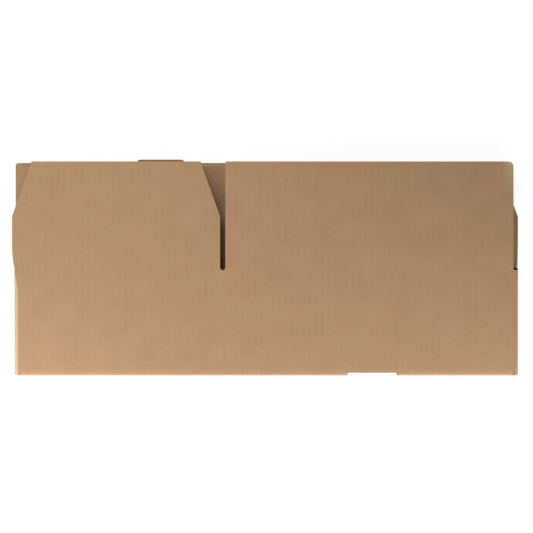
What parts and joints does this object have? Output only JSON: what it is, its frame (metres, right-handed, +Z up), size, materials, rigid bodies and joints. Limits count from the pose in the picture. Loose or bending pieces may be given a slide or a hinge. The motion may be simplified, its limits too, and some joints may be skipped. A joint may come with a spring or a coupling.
{
  "type": "auto-lock bottom carton",
  "caption": "Corrugated board carton folded flat, with a pre-glued self-locking bottom inside, bevelled short top flaps and straight long top flaps that swing on their scores.",
  "frame": {"origin": "on the table under the middle of the flat carton's outline", "axes": "+X across the panels from the short front panel to the long front panel, +Y from the folded bottom to the top flaps, +Z up from the table, out of the front panels"},
  "size_m": [0.5304, 0.2264, 0.0162],
  "materials": {
    "kraft_board": "matte"
  },
  "bodies": {
    "sleeve": {"sleeve": "kraft_board"},
    "front_short_flap": {"front_short_flap": "kraft_board"},
    "front_long_flap": {"front_long_flap": "kraft_board"},
    "back_short_flap": {"back_short_flap": "kraft_board"},
    "back_long_flap": {"back_long_flap": "kraft_board"}
  },
  "joints": [
    {"name": "front_short_score", "type": "hinge", "parent": "sleeve", "child": "front_short_flap", "pos_m": [-0.1565, -0.00135, 0.0162], "axis": [1, 0, 0], "range_deg": [0, 170]},
    {"name": "front_long_score", "type": "hinge", "parent": "sleeve", "child": "front_long_flap", "pos_m": [0.1072, -0.00135, 0.0162], "axis": [1, 0, 0], "range_deg": [0, 170]},
    {"name": "back_short_score", "type": "hinge", "parent": "sleeve", "child": "back_short_flap", "pos_m": [0.1565, -0.00135, 0], "axis": [-1, 0, 0], "range_deg": [0, 170]},
    {"name": "back_long_score", "type": "hinge", "parent": "sleeve", "child": "back_long_flap", "pos_m": [-0.112, -0.00135, 0], "axis": [-1, 0, 0], "range_deg": [0, 170]}
  ]
}
